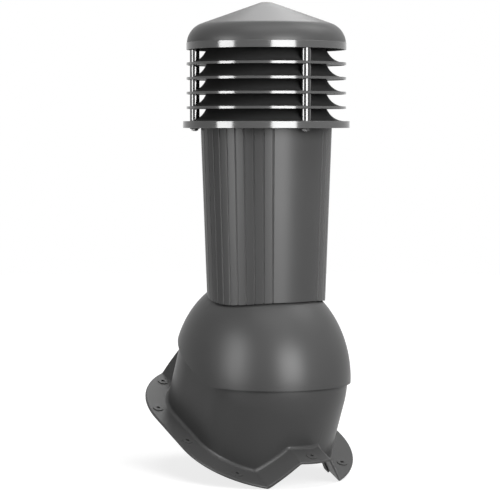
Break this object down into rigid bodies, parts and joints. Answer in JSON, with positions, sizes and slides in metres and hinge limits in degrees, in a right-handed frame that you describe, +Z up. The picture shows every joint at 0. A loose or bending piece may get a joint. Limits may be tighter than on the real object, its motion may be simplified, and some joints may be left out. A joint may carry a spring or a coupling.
{
  "type": "roof vent pipe",
  "caption": "Roof vent pipe on a flange for a pitched roof, with a hood that tilts to keep the pipe upright and a louvred rain head.",
  "frame": {"origin": "middle of the flange between the two ridge screws, on the underside of the ridge's crest", "axes": "+Z up along the upright pipe, -Y down the roof slope, +X across the slope; the flange is turned 23.5 degrees about X"},
  "size_m": [0.271, 0.3351, 0.6887],
  "materials": {
    "graphite_plastic": "satin moulded plastic, dark graphite",
    "gloss_graphite": "smooth turned-looking edges with a sheen",
    "seal_rubber": "soft black sealing rubber",
    "foam": "grey felt and foam",
    "duct_plastic": "light grey plastic pipe",
    "bright_steel": "stainless steel"
  },
  "bodies": {
    "base": {"base_body": "graphite_plastic", "roof_seal": "seal_rubber", "pivot_pin_left": "bright_steel", "pivot_pin_right": "bright_steel", "weather_strips": "foam"},
    "hood": {"hood": "graphite_plastic", "outer_tube": "graphite_plastic", "inner_pipe": "duct_plastic", "pipe_seal": "seal_rubber", "insulation": "foam", "centring_ring": "graphite_plastic"},
    "head": {"head_ring": "gloss_graphite", "louvre_1": "gloss_graphite", "louvre_2": "gloss_graphite", "louvre_3": "gloss_graphite", "louvre_4": "gloss_graphite", "sleeves_1": "gloss_graphite", "sleeves_2": "gloss_graphite", "sleeves_3": "gloss_graphite", "sleeves_4": "gloss_graphite", "sleeves_5": "gloss_graphite", "cap": "gloss_graphite", "tie_rods": "bright_steel", "rod_washers": "gloss_graphite", "rod_nuts": "bright_steel"}
  },
  "joints": [
    {"name": "hood_tilt", "type": "hinge", "parent": "base", "child": "hood", "pos_m": [0, -0.01755, 0.04035], "axis": [1, 0, 0], "range_deg": [-16.5, 8.5]},
    {"name": "head_lift", "type": "slide", "parent": "hood", "child": "head", "axis": [0, 0, 1], "range_m": [0, 0.06]}
  ]
}
